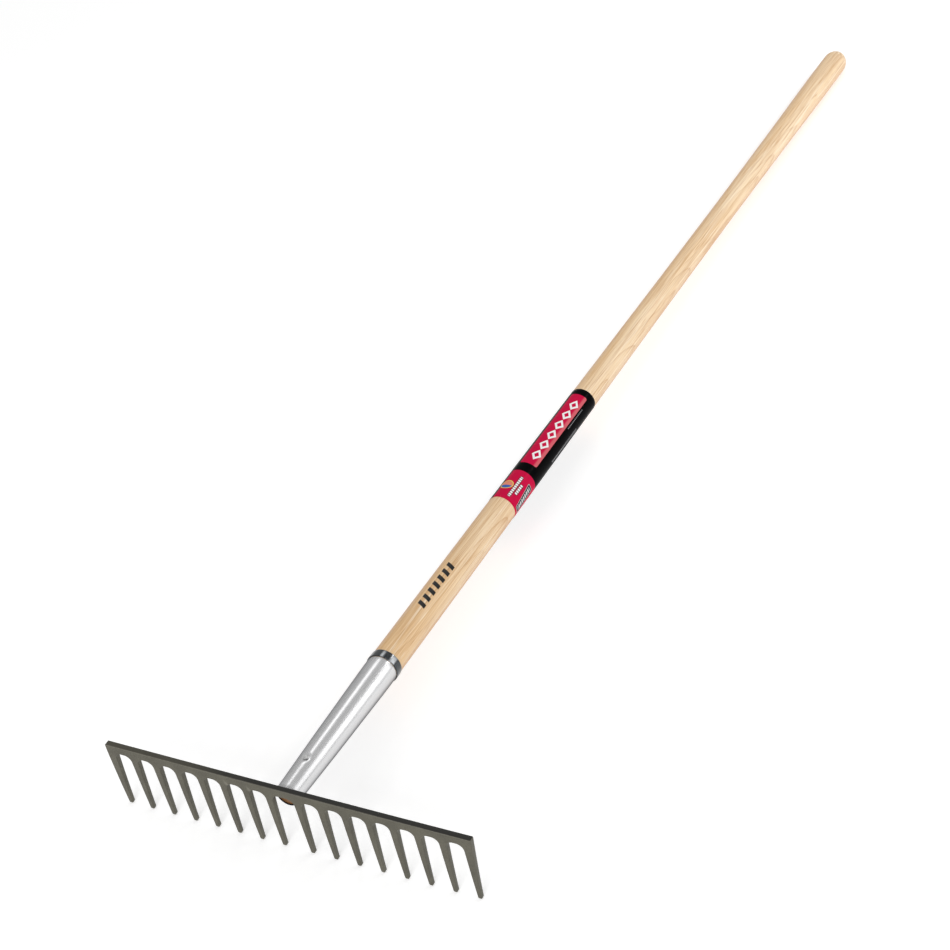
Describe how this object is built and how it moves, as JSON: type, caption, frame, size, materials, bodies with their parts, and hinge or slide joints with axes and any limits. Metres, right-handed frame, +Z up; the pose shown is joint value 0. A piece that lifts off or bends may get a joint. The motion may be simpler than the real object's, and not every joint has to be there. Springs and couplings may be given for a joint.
{
  "type": "level head garden rake",
  "caption": "Level-head garden rake: straight forged steel head with curved tines, tapered steel ferrule, collar ring, long ash handle and a film label.",
  "frame": {"origin": "on the ground under the middle of the outer box, with the rake lying on its tine tips and on the swell at the handle's end", "axes": "+X along the bar to the right seen from the head's front, +Y from the head towards the handle's free end, +Z up; the handle slopes down 2.01 degrees towards +Y"},
  "size_m": [0.398, 1.5352, 0.0829],
  "materials": {
    "forged_steel": "dark olive grey coat over forged steel, satin",
    "ferrule_steel": "bright drawn steel, satin, faint lengthwise marks",
    "ring_steel": "dark gunmetal, glossy",
    "ash_wood": "clear lacquered ash with open tan grain",
    "pin_steel": "plain steel, peened heads",
    "label_film": "glossy printed film, black with crimson fields"
  },
  "bodies": {
    "root": {"rake_head": "forged_steel", "ferrule": "ferrule_steel", "collar_ring": "ring_steel", "handle": "ash_wood", "cross_pin": "pin_steel", "label_wrap": "label_film"}
  },
  "joints": []
}
